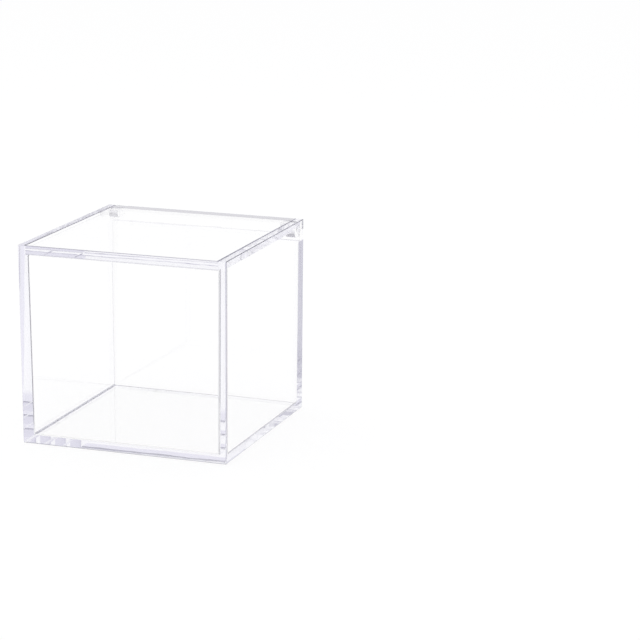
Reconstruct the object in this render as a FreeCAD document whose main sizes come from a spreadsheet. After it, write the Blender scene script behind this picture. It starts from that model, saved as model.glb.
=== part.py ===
import FreeCAD, Part
import math
import os

import Sketcher

# Clear moulded storage box with a flush lid that swings on two moulded pins.
# The origin is the centre of the underside, +Z is up, the front is -Y and the hinge is at +Y.

# Driving dimensions in millimetres, the angle in degrees: alias, value, what it measures
DIMENSIONS = [
    ("width", 100.0, "outer width at the rim"),
    ("depth", 100.0, "outer depth at the rim"),
    ("height", 92.0, "outer height"),
    ("outer_draft", 0.4, "how far each outer face leans in from the rim to the underside"),
    ("wall_rim", 3.6, "wall thickness at the rim"),
    ("wall_thickening", 0.4, "how much thicker the walls are where they meet the floor"),
    ("floor_thickness", 3.2, "floor thickness"),
    ("outer_radius", 0.6, "rounding of the upright edges and the edges round the underside"),
    ("cavity_radius", 1.0, "rounding of the corners inside"),
    ("edge_break", 0.4, "rounding of the lid's upper and front edges, the rim and the two lower walls"),
    ("lid_thickness", 4.0, "thickness of the lid plate"),
    ("lid_gap", 0.3, "gap between the lid and each side wall"),
    ("seat_clearance", 0.05, "air left between the closed lid and the front wall under it"),
    ("lip_thickness", 1.2, "what the bevel leaves of the lid's rear edge"),
    ("bevel_run", 3.6, "how far the bevel runs in under the lid's rear edge"),
    ("pivot_inset", 5.0, "hinge axis in from the rear face"),
    ("pivot_drop", 4.0, "hinge axis below the rim"),
    ("pin_radius", 1.5, "radius of the hinge pins"),
    ("pin_lead", 0.4, "chamfer that leads each pin into its socket"),
    ("pin_engagement", 1.8, "length of pin inside the wall"),
    ("pin_clearance", 0.05, "radial running clearance of the pins"),
    ("pin_end_clearance", 0.2, "room at the end of each socket"),
    ("open_angle", 115.0, "how far the lid opens"),
    ("stop_clearance", 0.1, "room left under the lid's rear edge at that angle"),
    ("lug_thickness", 4.6, "thickness of the hinge lugs"),
    ("lug_reach", 9.0, "front of the lugs in from the rear face"),
    ("lug_depth", 3.9, "how far the lugs hang below the lid plate"),
    ("toe_radius", 2.8, "rounding of the lugs' front lower corner"),
    ("hook_inset", 0.6, "rear of the lugs' hooks in from the rear face"),
    ("cut_overrun", 5.0, "how far the cuts run past the faces that they open"),
]

# Two places closer than this are one, and a face with less of its normal upwards than this is a side
SAME_PLACE = 1e-3
SIDE_SLOPE_SHARE = 0.5

doc = FreeCAD.newDocument("storage_box")
sizes = doc.addObject("Spreadsheet::Sheet", "sizes")
for row, (alias, value, meaning) in enumerate(DIMENSIONS, start=1):
    sizes.set("A%d" % row, meaning)
    sizes.set("B%d" % row, str(value))
    sizes.setAlias("B%d" % row, alias)
doc.recompute()


def less(first, *rest):
    return "(%s)" % " - ".join((first,) + rest)


def plus(*terms):
    return "(%s)" % " + ".join(terms)


def minus(term):
    return "-" + term


# Places that the two pieces share, as expressions of the driving dimensions
HALF_WIDTH = "(sizes.width / 2)"
HALF_DEPTH = "(sizes.depth / 2)"
INNER_HALF_WIDTH = less(HALF_WIDTH, "sizes.wall_rim")
INNER_HALF_DEPTH = less(HALF_DEPTH, "sizes.wall_rim")
LID_HALF_WIDTH = less(INNER_HALF_WIDTH, "sizes.lid_gap")
LID_UNDERSIDE = less("sizes.height", "sizes.lid_thickness")
PIVOT_Y = less(HALF_DEPTH, "sizes.pivot_inset")
PIVOT_Z = less("sizes.height", "sizes.pivot_drop")
OPEN_SINE = "sin(sizes.open_angle * 1 deg)"
OPEN_COSINE = "cos(sizes.open_angle * 1 deg)"

# The lid's upper rear edge comes down onto the rear wall when it is fully open
REAR_WALL_TOP = plus(
    less(PIVOT_Z, "sizes.pivot_inset * " + OPEN_SINE, "sizes.stop_clearance"),
    "sizes.pivot_drop * " + OPEN_COSINE,
)


def value_of(expression):
    return float(sizes.evalExpression(expression))


def origin_plane(body, role):
    return next(plane for plane in body.Origin.OriginFeatures if plane.Role == role)


def new_sketch(body, name, role, offset=None):
    sketch = body.newObject("Sketcher::SketchObject", name)
    sketch.AttachmentSupport = [(origin_plane(body, role), "")]
    sketch.MapMode = "FlatFace"
    if offset:
        sketch.setExpression("AttachmentOffset.Base.z", offset)
    return sketch


def bind(sketch, kind, targets, name, expression):
    index = sketch.addConstraint(Sketcher.Constraint(kind, *targets, value_of(expression)))
    sketch.renameConstraint(index, name)
    sketch.setExpression("Constraints." + name, expression)


def place_point(sketch, geometry, point, name, across, up):
    bind(sketch, "DistanceX", (-1, 1, geometry, point), name + "_across", across)
    bind(sketch, "DistanceY", (-1, 1, geometry, point), name + "_up", up)


def draw_outline(sketch, corners):
    """Closed outline of straight lines through corners, each a pair of expressions."""
    points = [FreeCAD.Vector(value_of(across), value_of(up), 0) for across, up in corners]
    count = len(points)
    for index, point in enumerate(points):
        sketch.addGeometry(Part.LineSegment(point, points[(index + 1) % count]), False)
    for index, (across, up) in enumerate(corners):
        sketch.addConstraint(Sketcher.Constraint("Coincident", index, 2, (index + 1) % count, 1))
        place_point(sketch, index, 1, "corner_%d" % index, across, up)


def draw_rectangle(sketch, left, right, low, high):
    draw_outline(sketch, [(left, low), (right, low), (right, high), (left, high)])


def draw_centred_rectangle(sketch, half_across, half_up):
    draw_rectangle(sketch, minus(half_across), half_across, minus(half_up), half_up)


def draw_circle(sketch, across, up, radius):
    centre = FreeCAD.Vector(value_of(across), value_of(up), 0)
    sketch.addGeometry(Part.Circle(centre, FreeCAD.Vector(0, 0, 1), value_of(radius)), False)
    place_point(sketch, 0, 3, "centre", across, up)
    bind(sketch, "Radius", (0,), "radius", radius)


def extrude(body, kind, name, sketch, length, side="One side", backwards=False):
    feature = body.newObject("PartDesign::" + kind, name)
    feature.Profile = sketch
    feature.SideType = side
    feature.Reversed = backwards
    feature.setExpression("Length", length)
    doc.recompute()
    return feature


def is_upright(edge):
    box = edge.BoundBox
    return box.ZLength > box.XLength + box.YLength


def is_side(face):
    return isinstance(face.Surface, Part.Plane) and abs(face.normalAt(0, 0).z) < SIDE_SLOPE_SHARE


def at_level(item, level):
    box = item.BoundBox
    return max(abs(box.ZMin - level), abs(box.ZMax - level)) < SAME_PLACE


def lean_faces(body, name, base, angle, chosen, inwards):
    """Lean faces about the rim's level, so that they stay as drawn there."""
    faces = base.Shape.Faces
    level = value_of("sizes.height")
    feature = body.newObject("PartDesign::Draft", name)
    feature.Base = (base, ["Face%d" % (index + 1) for index, face in enumerate(faces) if chosen(face)])
    rim = next("Face%d" % (index + 1) for index, face in enumerate(faces) if at_level(face, level))
    feature.NeutralPlane = (base, [rim])
    feature.setExpression("Angle", angle)
    feature.Reversed = inwards
    body.Tip = feature
    doc.recompute()
    return feature


def mirror_across_middle(body, name, originals):
    feature = body.newObject("PartDesign::Mirrored", name)
    feature.Originals = originals
    feature.MirrorPlane = (origin_plane(body, "YZ_Plane"), [""])
    body.Tip = feature
    doc.recompute()
    return feature


def dress_edges(body, kind, name, base, size_property, size, chosen):
    names = ["Edge%d" % (index + 1) for index, edge in enumerate(base.Shape.Edges) if chosen(edge)]
    feature = body.newObject("PartDesign::" + kind, name)
    feature.Base = (base, names)
    feature.setExpression(size_property, size)
    body.Tip = feature
    doc.recompute()
    return feature


def round_edges(body, name, base, radius, chosen):
    return dress_edges(body, "Fillet", name, base, "Radius", radius, chosen)


def build_box_body():
    body = doc.addObject("PartDesign::Body", "box_body")
    top = value_of("sizes.height")
    floor_top = value_of("sizes.floor_thickness")
    across = value_of(INNER_HALF_WIDTH) + SAME_PLACE
    along = value_of(INNER_HALF_DEPTH) + SAME_PLACE

    def is_inside(item):
        centre = item.BoundBox.Center
        return abs(centre.x) < across and abs(centre.y) < along

    # Outer block, leaning in towards the underside so that it leaves the mould
    rim = new_sketch(body, "rim_outline", "XY_Plane", "sizes.height")
    draw_centred_rectangle(rim, HALF_WIDTH, HALF_DEPTH)
    block = extrude(body, "Pad", "outer_block", rim, "sizes.height", backwards=True)
    leaning = lean_faces(body, "outer_lean", block, "atan(sizes.outer_draft / sizes.height)", is_side, True)
    round_edges(
        body,
        "outer_edges",
        leaning,
        "sizes.outer_radius",
        lambda edge: is_upright(edge) or at_level(edge, 0),
    )

    # Cavity, with the rear wall cut down to the lid's stop and the front wall to the lid's underside
    mouth = new_sketch(body, "mouth_outline", "XY_Plane", "sizes.height")
    draw_centred_rectangle(mouth, INNER_HALF_WIDTH, INNER_HALF_DEPTH)
    inner_depth = less("sizes.height", "sizes.floor_thickness")
    extrude(body, "Pocket", "cavity", mouth, inner_depth)
    past_wall = plus(HALF_DEPTH, "sizes.cut_overrun")
    rear = new_sketch(body, "rear_cut_outline", "XY_Plane", "sizes.height")
    draw_rectangle(rear, minus(INNER_HALF_WIDTH), INNER_HALF_WIDTH, INNER_HALF_DEPTH, past_wall)
    extrude(body, "Pocket", "rear_cut", rear, less("sizes.height", REAR_WALL_TOP))
    front = new_sketch(body, "front_cut_outline", "XY_Plane", "sizes.height")
    before_wall = minus(past_wall)
    draw_rectangle(front, minus(INNER_HALF_WIDTH), INNER_HALF_WIDTH, before_wall, minus(INNER_HALF_DEPTH))
    open_box = extrude(
        body, "Pocket", "front_cut", front, plus("sizes.lid_thickness", "sizes.seat_clearance")
    )

    # The walls thicken evenly from the rim to the floor, on top of the lean outside
    lean = "atan(sizes.outer_draft / sizes.height + sizes.wall_thickening / %s)" % inner_depth
    leaning = lean_faces(
        body, "inner_lean", open_box, lean, lambda face: is_side(face) and is_inside(face), False
    )
    round_edges(
        body,
        "inner_corners",
        leaning,
        "sizes.cavity_radius",
        lambda edge: at_level(edge, floor_top) or (is_upright(edge) and is_inside(edge)),
    )

    # Blind sockets for the hinge pins
    outline = new_sketch(body, "socket_outline", "YZ_Plane", LID_HALF_WIDTH)
    draw_circle(outline, PIVOT_Y, PIVOT_Z, plus("sizes.pin_radius", "sizes.pin_clearance"))
    socket = extrude(
        body,
        "Pocket",
        "right_socket",
        outline,
        plus("sizes.lid_gap", "sizes.pin_engagement", "sizes.pin_end_clearance"),
        backwards=True,
    )
    sockets = mirror_across_middle(body, "both_sockets", [socket])

    # The rim's edges, and the outer edges of the two lower walls
    lower_tops = [value_of(less(LID_UNDERSIDE, "sizes.seat_clearance")), value_of(REAR_WALL_TOP)]

    def is_lower_edge(edge):
        box = edge.BoundBox
        is_outer = abs(box.Center.y) > along and box.XLength > box.YLength
        return is_outer and any(at_level(edge, level) for level in lower_tops)

    round_edges(
        body,
        "rim_edges",
        sockets,
        "sizes.edge_break",
        lambda edge: at_level(edge, top) or is_lower_edge(edge),
    )
    return body


def draw_lug(sketch):
    """Side outline of a hinge lug: rounded toe in front, hook at the rear, hollow neck above the hook."""
    front = less(HALF_DEPTH, "sizes.lug_reach")
    rear = less(HALF_DEPTH, "sizes.hook_inset")
    neck = less(HALF_DEPTH, "sizes.bevel_run")
    bottom = less(LID_UNDERSIDE, "sizes.lug_depth")
    middle = less("sizes.height", "sizes.lid_thickness / 2")

    # The neck starts straight down under the bevel, and one radius serves its hollow and the hook
    reach = value_of(rear) - value_of(neck)
    drop = value_of("sizes.lug_depth")
    radius = drop + 2 * reach - math.sqrt(reach * (4 * drop + 3 * reach))
    turn = 2 * math.atan2(reach, drop - radius)

    def at(across, up, shift=FreeCAD.Vector()):
        return FreeCAD.Vector(value_of(across), value_of(up), 0) + shift

    def arc(centre, radius, start, end):
        return Part.ArcOfCircle(Part.Circle(centre, FreeCAD.Vector(0, 0, 1), radius), start, end)

    toe_end = plus(front, "sizes.toe_radius")
    toe_top = plus(bottom, "sizes.toe_radius")
    hook_centre = at(rear, bottom, FreeCAD.Vector(-radius, radius, 0))
    hollow_centre = at(neck, LID_UNDERSIDE, FreeCAD.Vector(radius, 0, 0))
    outline = [
        Part.LineSegment(at(front, middle), at(front, toe_top)),
        arc(at(toe_end, toe_top), value_of("sizes.toe_radius"), math.pi, 3 * math.pi / 2),
        Part.LineSegment(at(toe_end, bottom), at(rear, bottom, FreeCAD.Vector(-radius, 0, 0))),
        arc(hook_centre, radius, -math.pi / 2, turn),
        arc(hollow_centre, radius, math.pi, math.pi + turn),
        Part.LineSegment(at(neck, LID_UNDERSIDE), at(neck, middle)),
        Part.LineSegment(at(neck, middle), at(front, middle)),
    ]
    rear_guide = len(outline)
    sketch.addGeometry(outline, False)
    sketch.addGeometry(Part.LineSegment(at(rear, bottom), at(rear, middle)), True)
    front_line, toe, bottom_line, hook, hollow, neck_line, top_line = range(rear_guide)
    for kind, *joined in [
        ("Tangent", front_line, 2, toe, 1),
        ("Tangent", toe, 2, bottom_line, 1),
        ("Tangent", bottom_line, 2, hook, 1),
        ("Tangent", hook, 2, hollow, 2),
        ("Tangent", hollow, 1, neck_line, 1),
        ("Tangent", hook, rear_guide),
        ("Equal", hook, hollow),
        ("Coincident", neck_line, 2, top_line, 1),
        ("Coincident", top_line, 2, front_line, 1),
        ("Vertical", front_line),
        ("Horizontal", bottom_line),
        ("Vertical", neck_line),
        ("Horizontal", top_line),
        ("Vertical", rear_guide),
    ]:
        sketch.addConstraint(Sketcher.Constraint(kind, *joined))
    bind(sketch, "Radius", (toe,), "toe_radius", "sizes.toe_radius")
    bind(sketch, "DistanceY", (-1, 1, bottom_line, 1), "bottom", bottom)
    bind(sketch, "DistanceY", (-1, 1, rear_guide, 2), "guide_top", middle)
    place_point(sketch, rear_guide, 1, "rear", rear, bottom)
    place_point(sketch, neck_line, 1, "neck", neck, LID_UNDERSIDE)
    place_point(sketch, front_line, 1, "front", front, middle)


def build_lid():
    body = doc.addObject("PartDesign::Body", "lid")
    top = value_of("sizes.height")

    # Plate with a bevel under its rear edge
    section = new_sketch(body, "plate_section", "YZ_Plane")
    draw_outline(
        section,
        [
            (minus(HALF_DEPTH), LID_UNDERSIDE),
            (less(HALF_DEPTH, "sizes.bevel_run"), LID_UNDERSIDE),
            (HALF_DEPTH, less("sizes.height", "sizes.lip_thickness")),
            (HALF_DEPTH, "sizes.height"),
            (minus(HALF_DEPTH), "sizes.height"),
        ],
    )
    extrude(body, "Pad", "plate", section, "2 * " + LID_HALF_WIDTH, side="Symmetric")

    # A lug under each rear corner, with a pin on its outer side
    lug_side = new_sketch(body, "lug_outline", "YZ_Plane", LID_HALF_WIDTH)
    draw_lug(lug_side)
    lug = extrude(body, "Pad", "right_lug", lug_side, "sizes.lug_thickness", backwards=True)
    pin_end = new_sketch(body, "pin_outline", "YZ_Plane", LID_HALF_WIDTH)
    draw_circle(pin_end, PIVOT_Y, PIVOT_Z, "sizes.pin_radius")
    pin = extrude(body, "Pad", "right_pin", pin_end, plus("sizes.lid_gap", "sizes.pin_engagement"))
    both = mirror_across_middle(body, "both_lugs", [lug, pin])
    tip = value_of(plus(LID_HALF_WIDTH, "sizes.lid_gap", "sizes.pin_engagement"))
    leads = dress_edges(
        body,
        "Chamfer",
        "pin_leads",
        both,
        "Size",
        "sizes.pin_lead",
        lambda edge: abs(abs(edge.BoundBox.Center.x) - tip) < SAME_PLACE,
    )
    underside = value_of(LID_UNDERSIDE)
    front = -value_of(HALF_DEPTH)

    def is_front_edge(edge):
        return at_level(edge, underside) and abs(edge.BoundBox.Center.y - front) < SAME_PLACE

    round_edges(
        body,
        "lid_edges",
        leads,
        "sizes.edge_break",
        lambda edge: at_level(edge, top) or is_front_edge(edge),
    )
    return body


def check(bodies):
    for item in doc.Objects:
        if "Invalid" in item.State or "Error" in item.State:
            raise RuntimeError("%s did not build: %s" % (item.Name, item.State))
    for body in bodies:
        if body.Shape.isNull() or not body.Shape.isValid():
            raise RuntimeError("%s has no valid shape" % body.Label)
        print(body.Label, len(body.Shape.Solids), "solid,", round(body.Shape.Volume, 1), "mm3")


pieces = [build_box_body(), build_lid()]
doc.recompute()
check(pieces)
os.makedirs("parts", exist_ok=True)
for piece in pieces:
    piece.Shape.exportStep("parts/%s.step" % piece.Label)
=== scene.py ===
import math

import bpy
from mathutils import Matrix, Vector


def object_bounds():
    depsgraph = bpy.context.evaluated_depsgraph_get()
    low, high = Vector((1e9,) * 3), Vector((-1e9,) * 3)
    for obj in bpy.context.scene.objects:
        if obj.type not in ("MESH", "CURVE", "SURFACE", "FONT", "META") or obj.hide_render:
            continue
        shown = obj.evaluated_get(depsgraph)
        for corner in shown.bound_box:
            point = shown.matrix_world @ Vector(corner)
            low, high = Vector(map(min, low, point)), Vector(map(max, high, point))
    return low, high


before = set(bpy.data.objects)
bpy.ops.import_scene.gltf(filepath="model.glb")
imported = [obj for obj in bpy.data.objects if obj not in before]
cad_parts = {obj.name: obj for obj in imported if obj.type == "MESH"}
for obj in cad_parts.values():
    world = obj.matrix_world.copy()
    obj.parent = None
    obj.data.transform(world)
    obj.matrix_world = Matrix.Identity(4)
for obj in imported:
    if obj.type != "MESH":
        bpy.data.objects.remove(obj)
cad_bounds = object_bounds()

# Camera, measured on the box's outer edges: angles in degrees, lengths in metres, sensor and lens in mm
CAMERA_AZIMUTH = 19.21
CAMERA_ELEVATION = 13.852
CAMERA_ROLL = 0.308
CAMERA_DISTANCE = 1.1427
CAMERA_SIDE_STEP = 0.0718
CAMERA_RISE = 0.04878
SENSOR_WIDTH = 36.0
LENS = 137.6

# Clear acrylic: absorption per metre is the density times what the tint lacks
ACRYLIC_INDEX = 1.49
ACRYLIC_TRANSMISSION = 1.0
ACRYLIC_TINT = (0.86, 0.85, 0.95, 1.0)
ACRYLIC_DENSITY = 3.5
ACRYLIC_SHADOW = (0.95, 0.95, 0.97, 1.0)
FACE_TONE = (1.0, 1.0, 1.0, 1.0)
# Painted shade in the acrylic's base colour, standing in for dark surroundings seen in its rounded faces: grey
# on outer edges, darker in the cavity's corners, darkest on the hinge's curves and the base edges
PAINTED_EDGE_SHADE = {
    "Edge": (0.80, 0.80, 0.83, 1.0),
    "Corner": (0.52, 0.52, 0.55, 1.0),
    "Base Edge": (0.20, 0.20, 0.23, 1.0),
    "Hinge": (0.30, 0.29, 0.35, 1.0),
}

# Faint flow waves and smudges of the polished mouldings
BODY_WAVE_SCALE = 40.0
LID_WAVE_SCALE = 55.0
WAVE_STRENGTH = 0.02
WAVE_HEIGHT = 0.001
SMUDGE_SCALE = 120.0
SMUDGE_RANGE = (0.55, 0.80)
SMUDGE_ROUGHNESS = 0.012

# Largest part of a normal along one axis: flat faces have nearly all of it, rounded edges less
FLAT_TO_ROUND = (0.998, 0.97)

# An edge runs along an axis where its normals have less than this along it
RUNS_ALONG_SHARE = 0.3

# The painted shade on the lid's edges along X is lightest in the middle and at the right, in metres
PALE_EDGE_ACROSS = (-0.035, 0.0)
PALE_EDGE_FROM_Z = 0.08803
PALE_EDGE_SHARE = 0.85

# The painted shade in the cavity's upright corners is darkest at the front, in metres
CORNER_ALONG = (0.060, -0.045)

# Bevel, lugs, pins and sockets lie in this zone of both pieces, in metres
HINGE_FROM_Y = 0.0402
HINGE_TO_Z = 0.0914
HINGE_TO_X = 0.0490
HINGE_FROM_Z = 0.0825

# Outer edges lie beyond the cavity's walls or above the hinge zone, and base edges under the cavity's floor,
# in metres
CAVITY_REACH = 0.0470
CAVITY_FROM_Z = 0.0028

# Light is led along inside the walls, so its paths are long. Rays are told apart by how often they were turned
# inside and how many surfaces they passed, with limits between whole numbers.
MOST_BOUNCES = 96
TURNED_BOUNCES = 0.5
LED_ALONG_BOUNCES = 3.5
DEEP_BOUNCES = (10.5, 13.5)
ENTERED_PASSES = 0.5
ONE_WALL_PASSES = 2.5
FEW_PASSES = 3.5

# Floor, lengths in metres, with zones of painted shade and painted shadow that only rays led inside the
# acrylic see. Each pair of limits runs from no tone to the full tone.
WHITE = (1.0, 1.0, 1.0, 1.0)
FLOOR_SIZE = 12.0
FLOOR_DROP = 0.0004
FLOOR_COLOUR = (0.95, 0.95, 0.95, 1.0)
FLOOR_GLOW_SHARE = 0.9
# Painted shade on the floor in front of the box, darker further in front
FRONT_PAINTED_SHADE = (0.80, 0.79, 0.86, 1.0)
FRONT_NEAR = (-0.07, -0.11)
FRONT_FAR = (-1.00, -0.90)
FRONT_DARK_SHADE = (0.20, 0.20, 0.24, 1.0)
FRONT_DARK_ACROSS = (-0.075, -0.060)
FRONT_DARK_NEAR = (-0.19, -0.21)
FRONT_DARK_BEYOND = (-0.41, -0.43)
# Painted shadow on the floor under the box's left wall
UNDER_LEFT_PAINTED_SHADOW = (0.80, 0.79, 0.86, 1.0)
UNDER_LEFT_ACROSS = (-0.030, -0.036)
UNDER_LEFT_NEAR = (-0.050, -0.045)
UNDER_LEFT_FAR = (0.052, 0.050)
# Painted shadow of the box on the floor just behind it
BEHIND_PAINTED_SHADOW = (0.85, 0.84, 0.91, 1.0)
BEHIND_NEAR = (0.045, 0.048)
BEHIND_FAR = (0.072, 0.062)
# Painted shade on the floor behind the box at the left
LEFT_TONE = (0.87, 0.86, 0.93, 1.0)
LEFT_LEAN = 0.25
LEFT_ACROSS = (-0.034, -0.042)
LEFT_NEAR = (0.062, 0.072)
LEFT_FAR = (0.40, 0.36)

# Dome, directions as shares of 1
HIGH_DOME = (0.82, 0.81, 0.88, 1.0)
HIGH_DOME_RISE = (0.45, 0.70)
HIGH_DOME_ACROSS = (-0.10, 0.15)
BACKDROP_TONE = (0.77, 0.76, 0.84, 1.0)
BACKDROP_ACROSS = (-0.10, 0.10)
BACKDROP_ALONG = (0.20, 0.40)
BACKDROP_RISE = (0.50, 0.30)

# Painted grey shade at both sides, standing in for dark cards, on the floor and low on the dome, and painted
# shade for the loss of rays led far along in one wall
SIDE_SHADE = (0.24, 0.23, 0.27, 1.0)
SIDE_LEAN = 0.6
SIDE_SHIFT = 0.035
SIDE_SHADE_ON_FLOOR = (0.075, 0.090)
SIDE_SHADE_ON_DOME = (0.20, 0.40)
# Painted shade for rays led far along in one wall, standing in for the light they lose
DEEP_LOSS_SHADE = (0.52, 0.51, 0.59, 1.0)

# Softbox, lengths in metres and power in watts
SOFTBOX_PLACE = (-0.40, 0.10, 1.2)
SOFTBOX_AIM = (0.0, 0.05, 0.0)
SOFTBOX_SIZE = 0.8
SOFTBOX_POWER = 4.6

# Sockets that Blender tells apart only by their number
MIX_FACTOR, MIX_FIRST_COLOUR, MIX_SECOND_COLOUR, MIX_COLOUR_RESULT = 0, 6, 7, 2
MIX_FIRST_SHADER, MIX_SECOND_SHADER = 1, 2


def feed(tree, socket, value):
    if isinstance(value, bpy.types.NodeSocket):
        tree.links.new(value, socket)
    else:
        socket.default_value = value


def math_node(tree, operation, first, second=0.0):
    node = tree.nodes.new("ShaderNodeMath")
    node.operation = operation
    feed(tree, node.inputs[0], first)
    feed(tree, node.inputs[1], second)
    return node.outputs["Value"]


def above(tree, value, limit):
    return math_node(tree, "GREATER_THAN", value, limit)


def below(tree, value, limit):
    return math_node(tree, "LESS_THAN", value, limit)


def size_of(tree, value):
    return math_node(tree, "ABSOLUTE", value)


def rest_of(tree, mask):
    """1 where the mask is 0, and 0 where it is 1."""
    return math_node(tree, "SUBTRACT", 1.0, mask)


def product(tree, first, *others):
    for other in others:
        first = math_node(tree, "MULTIPLY", first, other)
    return first


def ramp_between(tree, value, limits):
    """0 at the first limit, 1 at the second, and straight between."""
    node = tree.nodes.new("ShaderNodeMapRange")
    node.inputs["From Min"].default_value, node.inputs["From Max"].default_value = limits
    tree.links.new(value, node.inputs["Value"])
    return node.outputs["Result"]


def mix_colours(tree, factor, first, second):
    node = tree.nodes.new("ShaderNodeMix")
    node.data_type = "RGBA"
    tree.links.new(factor, node.inputs[MIX_FACTOR])
    feed(tree, node.inputs[MIX_FIRST_COLOUR], first)
    feed(tree, node.inputs[MIX_SECOND_COLOUR], second)
    return node.outputs[MIX_COLOUR_RESULT]


def mix_shaders(tree, factor, first, second):
    node = tree.nodes.new("ShaderNodeMixShader")
    tree.links.new(factor, node.inputs["Fac"])
    tree.links.new(first, node.inputs[MIX_FIRST_SHADER])
    tree.links.new(second, node.inputs[MIX_SECOND_SHADER])
    return node.outputs["Shader"]


def split_vector(tree, vector):
    parts = tree.nodes.new("ShaderNodeSeparateXYZ")
    tree.links.new(vector, parts.inputs["Vector"])
    return parts.outputs["X"], parts.outputs["Y"], parts.outputs["Z"]


def new_group(name, inputs, outputs):
    tree = bpy.data.node_groups.new(name, "ShaderNodeTree")
    for socket in inputs:
        tree.interface.new_socket(socket, in_out="INPUT", socket_type="NodeSocketFloat")
    for socket in outputs:
        tree.interface.new_socket(socket, in_out="OUTPUT", socket_type="NodeSocketFloat")
    return tree


def moulded_surface_group():
    """Faint flow waves and smudges of a polished moulding."""
    tree = new_group("moulded_surface", ["Wave Scale"], ["Wave", "Roughness"])
    given = tree.nodes.new("NodeGroupInput")
    result = tree.nodes.new("NodeGroupOutput")
    place = tree.nodes.new("ShaderNodeTexCoord")
    wave = tree.nodes.new("ShaderNodeTexNoise")
    tree.links.new(place.outputs["Object"], wave.inputs["Vector"])
    tree.links.new(given.outputs["Wave Scale"], wave.inputs["Scale"])
    tree.links.new(wave.outputs["Fac"], result.inputs["Wave"])
    smudge = tree.nodes.new("ShaderNodeTexNoise")
    smudge.inputs["Scale"].default_value = SMUDGE_SCALE
    tree.links.new(place.outputs["Object"], smudge.inputs["Vector"])
    share = ramp_between(tree, smudge.outputs["Fac"], SMUDGE_RANGE)
    tree.links.new(product(tree, share, SMUDGE_ROUGHNESS), result.inputs["Roughness"])
    return tree


def rounded_edge_group():
    """Masks of faces along no axis, where painted shade goes: outer edges, cavity corners, base edges and the
    hinge's curves.
    """
    tree = new_group("rounded_edge", [], PAINTED_EDGE_SHADE)
    result = tree.nodes.new("NodeGroupOutput")
    place = tree.nodes.new("ShaderNodeTexCoord")
    across, along, up = (size_of(tree, part) for part in split_vector(tree, place.outputs["Normal"]))
    largest = math_node(tree, "MAXIMUM", math_node(tree, "MAXIMUM", across, along), up)
    turned = ramp_between(tree, largest, FLAT_TO_ROUND)
    x, y, z = split_vector(tree, place.outputs["Object"])
    reach_x, reach_y = size_of(tree, x), size_of(tree, y)
    under_rim = below(tree, z, HINGE_TO_Z)
    hinge = product(
        tree, turned, under_rim, below(tree, reach_x, HINGE_TO_X),
        above(tree, y, HINGE_FROM_Y), above(tree, z, HINGE_FROM_Z)
    )
    edge = math_node(tree, "SUBTRACT", turned, hinge)
    past_cavity = above(tree, math_node(tree, "MAXIMUM", reach_x, reach_y), CAVITY_REACH)
    outer = math_node(tree, "MAXIMUM", past_cavity, rest_of(tree, under_rim))
    pale = product(
        tree, below(tree, across, RUNS_ALONG_SHARE), above(tree, z, PALE_EDGE_FROM_Z),
        ramp_between(tree, x, PALE_EDGE_ACROSS), PALE_EDGE_SHARE
    )
    upright = below(tree, up, RUNS_ALONG_SHARE)
    masks = {
        "Edge": product(tree, edge, outer, rest_of(tree, pale)),
        "Corner": product(tree, edge, rest_of(tree, outer), upright, ramp_between(tree, y, CORNER_ALONG)),
        "Base Edge": product(tree, edge, below(tree, z, CAVITY_FROM_Z), rest_of(tree, upright)),
        "Hinge": hinge,
    }
    for name, mask in masks.items():
        tree.links.new(mask, result.inputs[name])
    return tree


def new_material(name):
    material = bpy.data.materials.new(name)
    material.use_nodes = True
    material.node_tree.nodes.clear()
    return material, material.node_tree


def clear_acrylic(name, surface, rounded, wave_scale):
    material, tree = new_material(name)
    output = tree.nodes.new("ShaderNodeOutputMaterial")
    finish = tree.nodes.new("ShaderNodeBsdfPrincipled")
    finish.inputs["Transmission Weight"].default_value = ACRYLIC_TRANSMISSION
    finish.inputs["IOR"].default_value = ACRYLIC_INDEX
    masks = tree.nodes.new("ShaderNodeGroup")
    masks.node_tree = rounded
    # Painted edge shade: the masks mix grey into the acrylic's base colour
    tone = FACE_TONE
    for mask, shade_tone in PAINTED_EDGE_SHADE.items():
        tone = mix_colours(tree, masks.outputs[mask], tone, shade_tone)
    tree.links.new(tone, finish.inputs["Base Color"])
    effect = tree.nodes.new("ShaderNodeGroup")
    effect.node_tree = surface
    effect.inputs["Wave Scale"].default_value = wave_scale
    bump = tree.nodes.new("ShaderNodeBump")
    bump.inputs["Strength"].default_value = WAVE_STRENGTH
    bump.inputs["Distance"].default_value = WAVE_HEIGHT
    tree.links.new(effect.outputs["Wave"], bump.inputs["Height"])
    tree.links.new(bump.outputs["Normal"], finish.inputs["Normal"])
    tree.links.new(effect.outputs["Roughness"], finish.inputs["Roughness"])
    path = tree.nodes.new("ShaderNodeLightPath")
    clear = tree.nodes.new("ShaderNodeBsdfTransparent")
    clear.inputs["Color"].default_value = ACRYLIC_SHADOW
    mixed = mix_shaders(tree, path.outputs["Is Shadow Ray"], finish.outputs["BSDF"], clear.outputs["BSDF"])
    tree.links.new(mixed, output.inputs["Surface"])
    inside = tree.nodes.new("ShaderNodeVolumeAbsorption")
    inside.inputs["Color"].default_value = ACRYLIC_TINT
    inside.inputs["Density"].default_value = ACRYLIC_DENSITY
    tree.links.new(inside.outputs["Volume"], output.inputs["Volume"])
    return material


def dress(node_name, material):
    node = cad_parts[node_name]
    node.data.materials.clear()
    node.data.materials.append(material)
    for face in node.data.polygons:
        face.material_index = 0


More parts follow.
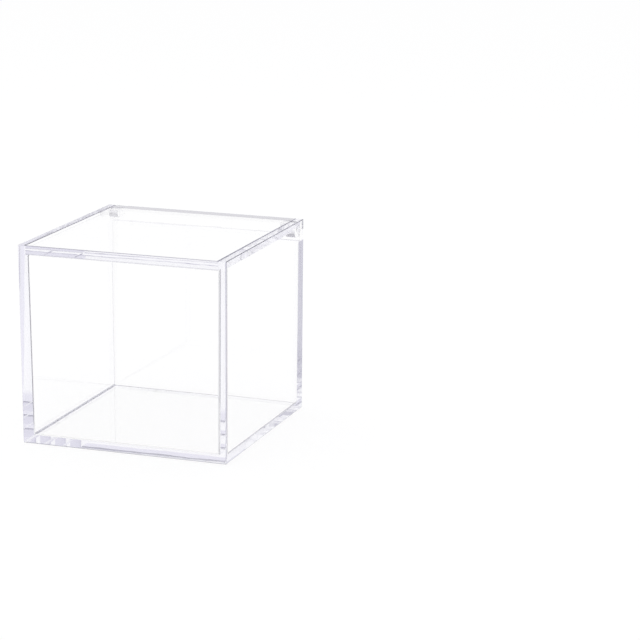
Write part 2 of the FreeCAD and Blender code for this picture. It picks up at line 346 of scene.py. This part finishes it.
def bounce_masks(tree):
    """Masks of rays turned a few times in a wall, led along in the acrylic, and led far along in one wall."""
    path = tree.nodes.new("ShaderNodeLightPath")
    turns, passes = path.outputs["Glossy Depth"], path.outputs["Transmission Depth"]
    led = above(tree, turns, LED_ALONG_BOUNCES)
    turned = product(
        tree, above(tree, turns, TURNED_BOUNCES), rest_of(tree, led),
        above(tree, passes, ENTERED_PASSES), below(tree, passes, FEW_PASSES)
    )
    deep = product(tree, ramp_between(tree, turns, DEEP_BOUNCES), below(tree, passes, ONE_WALL_PASSES))
    return turned, led, deep


def with_sides(tree, tone, turned, deep, place, side_shade_limits):
    """Painted grey shade at the sides, standing in for dark cards, for rays turned a few times, and painted
    shade for the loss of rays led far along.
    """
    x, y, z = place
    across = size_of(tree, math_node(tree, "SUBTRACT", x, SIDE_SHIFT))
    along = product(tree, size_of(tree, y), SIDE_LEAN)
    sideways = math_node(tree, "SUBTRACT", math_node(tree, "SUBTRACT", across, along), z)
    side_shade = product(tree, turned, ramp_between(tree, sideways, side_shade_limits))
    tone = mix_colours(tree, side_shade, tone, SIDE_SHADE)
    return mix_colours(tree, deep, tone, DEEP_LOSS_SHADE)


def zone(tree, mask, *edges):
    """The part of a mask that lies within ramps of the given values."""
    return product(tree, mask, *(ramp_between(tree, value, limits) for value, limits in edges))


def floor_tone(tree):
    """White, with painted grey and lilac zones of shade and shadow that only rays turned inside the acrylic
    see.
    """
    coordinates = tree.nodes.new("ShaderNodeTexCoord")
    place = split_vector(tree, coordinates.outputs["Object"])
    x, y, _ = place
    turned, led, deep = bounce_masks(tree)
    front = zone(tree, led, (y, FRONT_NEAR), (y, FRONT_FAR))
    middle = zone(tree, front, (x, FRONT_DARK_ACROSS), (y, FRONT_DARK_NEAR))
    front_dark = math_node(tree, "MAXIMUM", middle, zone(tree, front, (y, FRONT_DARK_BEYOND)))
    under_left = zone(tree, led, (x, UNDER_LEFT_ACROSS), (y, UNDER_LEFT_NEAR), (y, UNDER_LEFT_FAR))
    behind = zone(tree, led, (y, BEHIND_NEAR), (y, BEHIND_FAR))
    leaning = math_node(tree, "ADD", x, product(tree, y, LEFT_LEAN))
    left = zone(tree, led, (leaning, LEFT_ACROSS), (y, LEFT_NEAR), (y, LEFT_FAR))
    tone = WHITE
    for mask, shade_tone in (
        (front, FRONT_PAINTED_SHADE), (front_dark, FRONT_DARK_SHADE), (under_left, UNDER_LEFT_PAINTED_SHADOW),
        (behind, BEHIND_PAINTED_SHADOW), (left, LEFT_TONE),
    ):
        tone = mix_colours(tree, mask, tone, shade_tone)
    return with_sides(tree, tone, turned, deep, place, SIDE_SHADE_ON_FLOOR)


def pale_floor():
    material, tree = new_material("pale_floor")
    output = tree.nodes.new("ShaderNodeOutputMaterial")
    lit = tree.nodes.new("ShaderNodeBsdfDiffuse")
    lit.inputs["Color"].default_value = FLOOR_COLOUR
    glow = tree.nodes.new("ShaderNodeEmission")
    tree.links.new(floor_tone(tree), glow.inputs["Color"])
    path = tree.nodes.new("ShaderNodeLightPath")
    seen = path.outputs["Is Camera Ray"]
    for kind in ("Is Glossy Ray", "Is Transmission Ray"):
        seen = math_node(tree, "MAXIMUM", seen, path.outputs[kind])
    share = product(tree, seen, FLOOR_GLOW_SHARE)
    mixed = mix_shaders(tree, share, lit.outputs["BSDF"], glow.outputs["Emission"])
    tree.links.new(mixed, output.inputs["Surface"])
    bpy.ops.mesh.primitive_plane_add(size=FLOOR_SIZE, location=(0, 0, cad_bounds[0].z - FLOOR_DROP))
    floor = bpy.context.object
    floor.name = "floor"
    floor.data.materials.append(material)


def dome_tone(tree):
    """White, grey high at the right, with a backdrop and grey sides standing in for dark cards, that only rays
    turned in the acrylic see.
    """
    coordinates = tree.nodes.new("ShaderNodeTexCoord")
    place = split_vector(tree, coordinates.outputs["Generated"])
    x, y, z = place
    turned, led, deep = bounce_masks(tree)
    high = zone(tree, ramp_between(tree, z, HIGH_DOME_RISE), (x, HIGH_DOME_ACROSS))
    backdrop = zone(tree, led, (z, BACKDROP_RISE), (y, BACKDROP_ALONG), (x, BACKDROP_ACROSS))
    tone = mix_colours(tree, high, WHITE, HIGH_DOME)
    tone = mix_colours(tree, backdrop, tone, BACKDROP_TONE)
    return with_sides(tree, tone, turned, deep, place, SIDE_SHADE_ON_DOME)


def studio_world():
    world = bpy.data.worlds.new("studio")
    bpy.context.scene.world = world
    world.use_nodes = True
    tree = world.node_tree
    tree.nodes.clear()
    output = tree.nodes.new("ShaderNodeOutputWorld")
    room = tree.nodes.new("ShaderNodeBackground")
    tree.links.new(dome_tone(tree), room.inputs["Color"])
    white = tree.nodes.new("ShaderNodeBackground")
    white.inputs["Color"].default_value = WHITE
    path = tree.nodes.new("ShaderNodeLightPath")
    mixed = mix_shaders(
        tree, path.outputs["Is Camera Ray"], room.outputs["Background"], white.outputs["Background"]
    )
    tree.links.new(mixed, output.inputs["Surface"])


def top_softbox():
    light = bpy.data.lights.new("top_softbox", "AREA")
    light.shape = "SQUARE"
    light.size = SOFTBOX_SIZE
    light.energy = SOFTBOX_POWER
    lamp = bpy.data.objects.new("top_softbox", light)
    lamp.location = SOFTBOX_PLACE
    lamp.visible_glossy = False
    lamp.visible_transmission = False
    lamp.rotation_mode = "QUATERNION"
    lamp.rotation_quaternion = (Vector(SOFTBOX_AIM) - Vector(SOFTBOX_PLACE)).to_track_quat("-Z", "Y")
    bpy.context.scene.collection.objects.link(lamp)


def photo_camera():
    azimuth, elevation, roll = (math.radians(a) for a in (CAMERA_AZIMUTH, CAMERA_ELEVATION, CAMERA_ROLL))
    back = Vector((
        math.sin(azimuth) * math.cos(elevation),
        -math.cos(azimuth) * math.cos(elevation),
        math.sin(elevation),
    ))
    level = Vector((math.cos(azimuth), math.sin(azimuth), 0.0))
    upright = back.cross(level)
    right = level * math.cos(roll) + upright * math.sin(roll)
    up = upright * math.cos(roll) - level * math.sin(roll)
    lens = bpy.data.cameras.new("photo_camera")
    lens.sensor_width = SENSOR_WIDTH
    lens.lens = LENS
    camera = bpy.data.objects.new("photo_camera", lens)
    stand = back * CAMERA_DISTANCE + right * CAMERA_SIDE_STEP + up * CAMERA_RISE
    turn = Matrix((right, up, back)).transposed()
    camera.matrix_world = Matrix.Translation(stand) @ turn.to_4x4()
    bpy.context.scene.collection.objects.link(camera)
    bpy.context.scene.camera = camera


bpy.context.scene.view_settings.view_transform = "Standard"
light_paths = bpy.context.scene.cycles
light_paths.max_bounces = MOST_BOUNCES
light_paths.glossy_bounces = MOST_BOUNCES
light_paths.transmission_bounces = MOST_BOUNCES
surface = moulded_surface_group()
rounded = rounded_edge_group()
dress("box_body", clear_acrylic("clear_acrylic_body", surface, rounded, BODY_WAVE_SCALE))
dress("lid", clear_acrylic("clear_acrylic_lid", surface, rounded, LID_WAVE_SCALE))
pale_floor()
studio_world()
top_softbox()
photo_camera()
